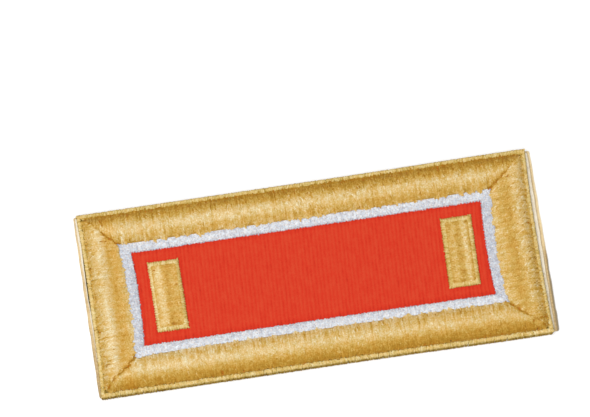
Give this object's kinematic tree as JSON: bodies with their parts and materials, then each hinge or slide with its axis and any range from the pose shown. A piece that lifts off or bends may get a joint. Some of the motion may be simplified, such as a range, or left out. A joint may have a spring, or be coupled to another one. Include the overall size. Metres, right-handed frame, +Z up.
{
  "type": "shoulder board",
  "caption": "Stiff rectangular cloth shoulder board with a padded gold border, white piping, a red ribbed ground and an embroidered bar near each end; flat back for sewing on.",
  "frame": {"origin": "middle of the flat back face, where it lies on the shoulder", "axes": "+X along the board's length, towards the picture's right; +Y across it, away from the viewer; +Z up, out of the embroidered face"},
  "size_m": [0.1032, 0.0414, 0.0052],
  "materials": {
    "gold_thread": "satin-stitched rayon thread, soft sheen",
    "pale_gold_thread": "close zigzag stitching, soft sheen",
    "white_thread": "short matte stitching",
    "ground_cloth": "finely ribbed matte cloth",
    "stiffener_cloth": "plain white stiffened cloth",
    "backing_cloth": "matte felted cloth"
  },
  "bodies": {
    "root": {"backing": "backing_cloth", "stiffener": "stiffener_cloth", "ground": "ground_cloth", "edge_back": "pale_gold_thread", "edge_front": "pale_gold_thread", "edge_left": "pale_gold_thread", "edge_right": "pale_gold_thread", "border_back": "gold_thread", "border_front": "gold_thread", "border_left": "gold_thread", "border_right": "gold_thread", "piping_back": "white_thread", "piping_front": "white_thread", "piping_left": "white_thread", "piping_right": "white_thread", "bar_left_rim": "pale_gold_thread", "bar_left_pad": "gold_thread", "bar_right_rim": "pale_gold_thread", "bar_right_pad": "gold_thread"}
  },
  "joints": []
}
